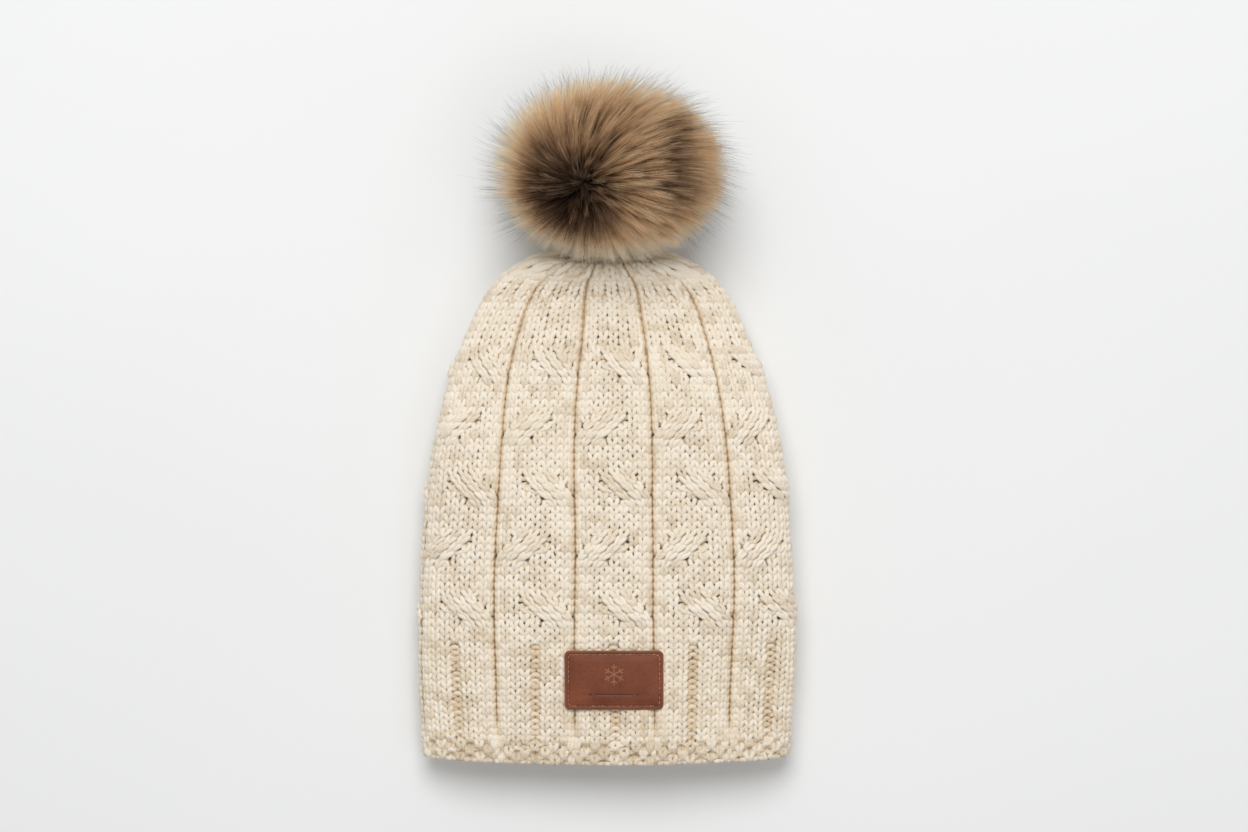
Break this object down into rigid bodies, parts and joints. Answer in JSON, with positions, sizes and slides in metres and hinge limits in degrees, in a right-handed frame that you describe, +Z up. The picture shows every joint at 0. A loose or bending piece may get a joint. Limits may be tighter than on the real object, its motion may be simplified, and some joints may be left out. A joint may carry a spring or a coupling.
{
  "type": "pom pom beanie",
  "caption": "Cable-knit winter beanie lying flat, with a ribbed opening, fleece lining, leather patch and a faux-fur pom that snaps off.",
  "frame": {"origin": "under the middle of the whole object, on the surface that the hat lies on", "axes": "+Z up from that surface through the hat's front, +X across the hat, +Y from the head opening to the pom"},
  "size_m": [0.2101, 0.3813, 0.1157],
  "materials": {
    "knit_yarn": "matte",
    "edge_yarn": "matte",
    "fleece": "matte",
    "sewing_thread": "matte",
    "gather_yarn": "matte",
    "patch_leather": "satin",
    "patch_thread": "matte",
    "label_cloth": "satin",
    "felt": "matte",
    "snap_metal": "satin",
    "spring_wire": "satin",
    "pom_felt": "matte",
    "neck_thread": "matte",
    "faux_fur": "matte",
    "pom_filling": "matte",
    "draw_thread": "matte"
  },
  "bodies": {
    "hat": {"knit_shell": "knit_yarn", "brim_edge": "edge_yarn", "fleece_lining": "fleece", "lining_hem_thread": "sewing_thread", "back_seam_thread": "sewing_thread", "crown_gather_thread": "gather_yarn", "leather_patch": "patch_leather", "patch_stitching": "patch_thread", "care_label": "label_cloth", "crown_felt_disc": "felt", "stud_cap": "snap_metal", "snap_stud": "snap_metal"},
    "spring_ring": {"snap_spring": "spring_wire"},
    "socket": {"snap_socket": "snap_metal", "socket_cap": "snap_metal", "pom_base_felt": "pom_felt"},
    "neck": {"pom_neck_knot": "neck_thread"},
    "pom": {"pom_fur": "faux_fur", "pom_stuffing": "pom_filling", "pom_drawcord": "draw_thread"}
  },
  "joints": [
    {"name": "pom_pull_off", "type": "slide", "parent": "hat", "child": "spring_ring", "axis": [0, 0.9397, 0.342], "range_m": [0, 0.035]},
    {"name": "pom_swivel", "type": "hinge", "parent": "spring_ring", "child": "socket", "pos_m": [0, 0.09334, 0.04006], "axis": [0, 0.9397, 0.342], "continuous": true},
    {"name": "pom_lift", "type": "hinge", "parent": "socket", "child": "neck", "pos_m": [0, 0.10462, 0.04416], "axis": [1, 0, 0], "range_deg": [0, 30]},
    {"name": "pom_swing", "type": "hinge", "parent": "neck", "child": "pom", "pos_m": [0, 0.10462, 0.04416], "axis": [0, -0.342, 0.9397], "range_deg": [-28, 28]}
  ]
}
